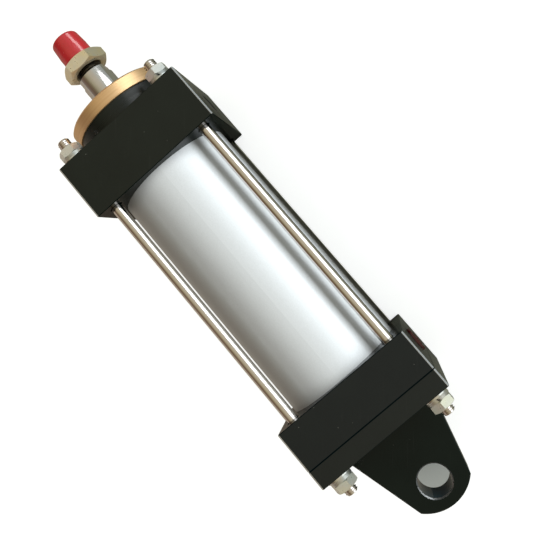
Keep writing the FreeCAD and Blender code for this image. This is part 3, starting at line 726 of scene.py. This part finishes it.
def make_lights(middle, others, plated, tube, cap):
    """A window-like light on the port side, and a faint fill from above that metals don't mirror.
    The window is several lamps, each of which lights one group: the plated hardware, the thread cap,
    the tube, and the rest."""
    tilt = math.radians(52.0)
    reach = 1.5
    aim = Vector((0.085, 0.0, 0.0))
    side = aim + reach * Vector((0.0, -math.sin(tilt), math.cos(tilt)))
    window = area_light("window", side, aim, WINDOW_WIDTH, WINDOW_HEIGHT, 2.5, DAYLIGHT)
    window.light_linking.receiver_collection = others
    plated_key = area_light("plated_key", side, aim, WINDOW_WIDTH, WINDOW_HEIGHT, 0.72, (0.90, 0.97, 1.0))
    plated_key.light_linking.receiver_collection = plated
    plated_key.data.diffuse_factor = 2.0
    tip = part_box("thread_cap")[0]
    beside = tip + 1.2 * Vector((0.48, -0.79, 0.38))
    cap_key = area_light("cap_key", beside, tip, 0.8, 0.34, 3.6, (1.0, 0.98, 0.98))
    cap_key.light_linking.receiver_collection = cap
    tube_key = area_light("tube_key", side, aim, WINDOW_WIDTH, WINDOW_HEIGHT / 2, 18.5, DAYLIGHT)
    tube_key.visible_glossy = False
    tube_key.light_linking.receiver_collection = tube
    fill = area_light("fill", middle + Vector((0.0, 1.1, 1.3)), middle, 2.4, 2.4, 0.42, (0.98, 1.0, 0.96))
    fill.visible_glossy = False


def make_flag():
    """A dark board close along the port side, seen only in reflections and as a shadow on that side."""
    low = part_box("bracket_plate")[0]
    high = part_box("rear_cap")[1]
    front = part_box("front_flat_washer_upper_left")[0].x
    top = high.z - FLAG_BELOW_TOP
    y = low.y - FLAG_AWAY
    bm = bmesh.new()
    corners = ((low.x, y, low.z), (front, y, low.z), (front, y, top), (low.x, y, top))
    bm.faces.new([bm.verts.new(corner) for corner in corners])
    mesh = bpy.data.meshes.new("flag")
    bm.to_mesh(mesh)
    bm.free()
    flag = bpy.data.objects.new("flag", mesh)
    bpy.context.scene.collection.objects.link(flag)
    flag.visible_camera = False
    flag.visible_diffuse = False
    cloth = Surface("dark_board", Roughness=0.9)
    tone = cloth.ramp(cloth.noise(60.0), [(0.3, (0.26, 0.26, 0.23)), (0.7, (0.34, 0.34, 0.31))])
    mesh.materials.append(cloth.finish(tone))


def make_camera():
    """Camera high over the cylinder, a little to its port side."""
    data = bpy.data.cameras.new("camera")
    data.sensor_width = 36.0
    data.lens = 49.108
    data.shift_y = -0.1111
    data.clip_start = 0.01
    data.clip_end = 50.0
    camera = bpy.data.objects.new("camera", data)
    bpy.context.scene.collection.objects.link(camera)
    camera.location = (0.12631, -0.07054, 0.45103)
    forward = Vector((0.12526, 0.08982, -0.98805)).normalized()
    up = Vector((0.75093, -0.65944, 0.03525))
    right = forward.cross(up).normalized()
    up = right.cross(forward)
    rotation = camera.matrix_world.to_3x3()
    rotation.col[0] = right
    rotation.col[1] = up
    rotation.col[2] = -forward
    camera.rotation_euler = rotation.to_euler()
    bpy.context.scene.camera = camera


make_pieces()
meshes = [piece for piece in bpy.data.objects if piece.type == "MESH"]
zinc_plated = [piece for piece in meshes if "nut" in piece.name or "washer" in piece.name]
shaded = zinc_plated + [NODES["rear_port_plug"]]     # the window doesn't reach these
others = collect("lit_by_window", [piece for piece in meshes if piece not in shaded])
plated = collect("plated_hardware", zinc_plated)
tube = collect("tube_only", [NODES["barrel_tube"]])
cap = collect("cap_only", [NODES["thread_cap"]])
make_floor(cad_box[0].z)
make_room()
make_lights((cad_box[0] + cad_box[1]) / 2, others, plated, tube, cap)
make_flag()
make_camera()
bpy.context.scene.view_settings.view_transform = "Standard"
